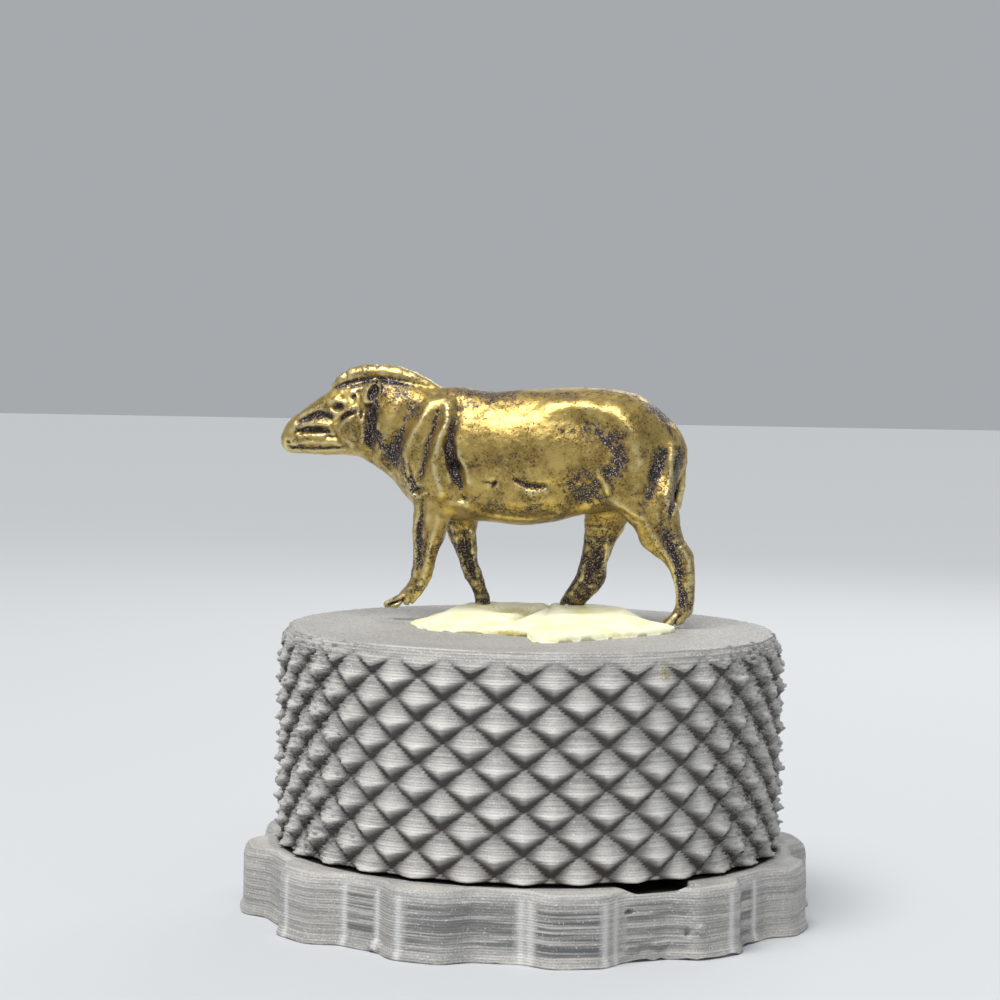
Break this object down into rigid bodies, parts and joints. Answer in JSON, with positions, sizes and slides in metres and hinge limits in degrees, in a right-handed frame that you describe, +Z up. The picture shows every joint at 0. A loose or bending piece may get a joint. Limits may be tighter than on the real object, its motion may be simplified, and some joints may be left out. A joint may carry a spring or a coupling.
{
  "type": "brass tapir figurine on a printed plinth",
  "caption": "Small cast brass tapir, walking, held by a pad of pale putty on a grey printed plinth: a drum with a diamond knurl on a scalloped foot.",
  "frame": {"origin": "centre of the plinth's underside", "axes": "+Z up, the tapir looks towards -X with its nose turned a little to +Y, and its left flank faces -Y"},
  "size_m": [0.0448, 0.0448, 0.0423],
  "materials": {
    "brass": "polished, with dark patina in the hollows",
    "putty": "matt, pressed by hand",
    "grey_print": "printed in layers, satin"
  },
  "bodies": {
    "root": {"scalloped_foot": "grey_print", "knurled_drum": "grey_print", "putty_pad": "putty", "tapir": "brass"}
  },
  "joints": []
}
